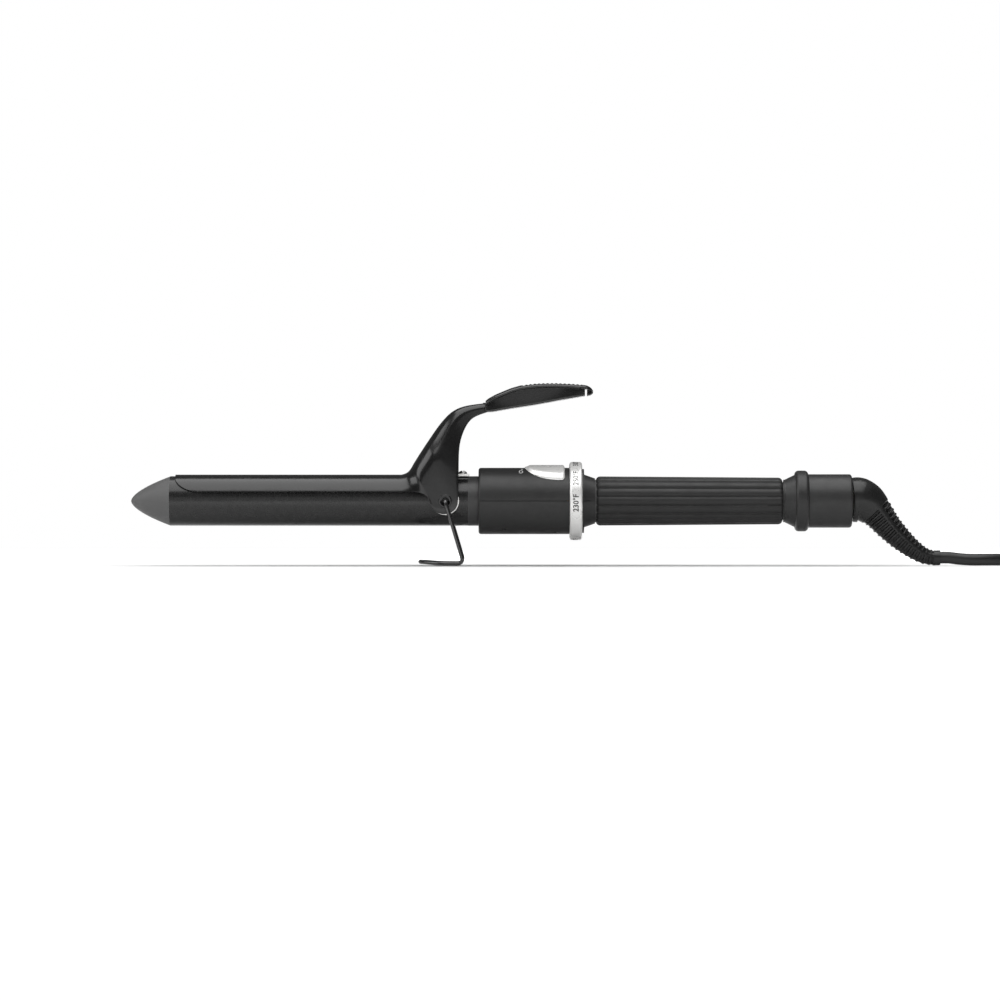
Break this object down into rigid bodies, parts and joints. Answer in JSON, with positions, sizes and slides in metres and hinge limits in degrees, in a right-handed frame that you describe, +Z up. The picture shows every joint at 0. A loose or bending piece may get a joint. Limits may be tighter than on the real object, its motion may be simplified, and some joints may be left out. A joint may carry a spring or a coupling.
{
  "type": "curling iron",
  "caption": "Spring-clamp curling iron with a lever thumb rest, fold-out wire stand, slide switch, turning temperature dial, lobed grip and swivel cord.",
  "frame": {"origin": "middle of the iron's bounding box, on the surface that it stands on; the free cord, its tie and the plug are left out of that box", "axes": "+X runs along the barrel from the cool tip to the cord, +Z is up; the lever and the slide switch are on top"},
  "size_m": [0.6335, 0.0568, 0.0936],
  "materials": {
    "tip_plastic": "matte dark grey",
    "ceramic_insulator": "matte white",
    "barrel_coating": "satin black",
    "heater_aluminium": "satin",
    "heater_ceramic": "matte tan",
    "fuse_metal": "satin",
    "sensor_glass": "gloss orange",
    "lead_sleeve": "matte white",
    "collar_plastic": "matte dark grey",
    "bracket_steel": "bright",
    "stud_steel": "dark plated",
    "spring_steel": "bright",
    "clamp_coating": "semi-gloss black",
    "thumb_plastic": "gloss black",
    "wire_black": "gloss black",
    "housing_plastic": "fine matte black",
    "board_green": "satin green",
    "switch_plastic": "matte grey",
    "actuator_plastic": "matte ivory",
    "slider_silver": "satin silver paint",
    "dial_silver": "satin silver paint",
    "contact_copper": "bright",
    "track_carbon": "matte brown",
    "mains_sleeve": "matte black",
    "core_plastic": "matte grey",
    "grip_rubber": "soft-touch matte black",
    "swivel_plastic": "matte black",
    "stem_plastic": "matte ivory",
    "relief_rubber": "satin black",
    "cord_jacket": "satin black",
    "tie_strap": "woven black",
    "plug_vinyl": "satin black",
    "blade_metal": "nickel plated"
  },
  "bodies": {
    "iron": {"cool_tip": "tip_plastic", "tip_insulator": "ceramic_insulator", "barrel": "barrel_coating", "heater_shell_upper": "heater_aluminium", "heater_shell_lower": "heater_aluminium", "heater_plate": "heater_ceramic", "thermal_fuse": "fuse_metal", "temperature_sensor": "sensor_glass", "heater_leads": "lead_sleeve", "barrel_collar": "collar_plastic", "hinge_bracket": "bracket_steel", "bracket_screw": "bracket_steel", "pivot_stud_near": "stud_steel", "pivot_stud_far": "stud_steel", "spring_pin": "bracket_steel", "clamp_spring": "spring_steel", "housing_upper": "housing_plastic", "housing_lower": "housing_plastic", "housing_screws": "stud_steel", "circuit_board": "board_green", "switch_body": "switch_plastic", "dial_track": "track_carbon", "mains_leads": "mains_sleeve", "handle_core": "core_plastic", "handle_grip": "grip_rubber", "rear_ferrule": "swivel_plastic", "swivel_housing": "swivel_plastic", "brush_holder": "actuator_plastic", "brush_contacts": "contact_copper", "cord_run": "cord_jacket", "cord_hank": "cord_jacket", "cord_tail": "cord_jacket", "cord_tie": "tie_strap", "plug_body": "plug_vinyl", "plug_blades": "blade_metal"},
    "clamp": {"clamp": "clamp_coating", "thumb_rest": "thumb_plastic", "thumb_rest_screws": "bracket_steel"},
    "stand": {"wire_stand": "wire_black"},
    "dial": {"dial_ring": "dial_silver", "dial_wiper": "contact_copper"},
    "switch": {"switch_slider": "slider_silver", "switch_actuator": "actuator_plastic"},
    "swivel": {"swivel_stem": "stem_plastic", "slip_rings": "contact_copper", "swivel_clip": "bracket_steel", "strain_relief": "relief_rubber"}
  },
  "joints": [
    {"name": "clamp_hinge", "type": "hinge", "parent": "iron", "child": "clamp", "pos_m": [-0.0462, 0, 0.0331], "axis": [0, 1, 0], "range_deg": [0, 22], "stiffness_Nm_per_rad": 0.8, "springref_deg": -22.92, "deforming": ["clamp_spring"]},
    {"name": "stand_swing", "type": "hinge", "parent": "iron", "child": "stand", "pos_m": [-0.0462, 0, 0.0331], "axis": [0, 1, 0], "range_deg": [-38, 42]},
    {"name": "dial_turn", "type": "hinge", "parent": "iron", "child": "dial", "pos_m": [0.0205, 0, 0.0331], "axis": [1, 0, 0], "range_deg": [0, 270]},
    {"name": "switch_slide", "type": "slide", "parent": "iron", "child": "switch", "axis": [-1, 0, 0], "range_m": [0, 0.004]},
    {"name": "cord_swivel", "type": "hinge", "parent": "iron", "child": "swivel", "pos_m": [0.1625, 0, 0.0331], "axis": [1, 0, 0], "continuous": true}
  ]
}
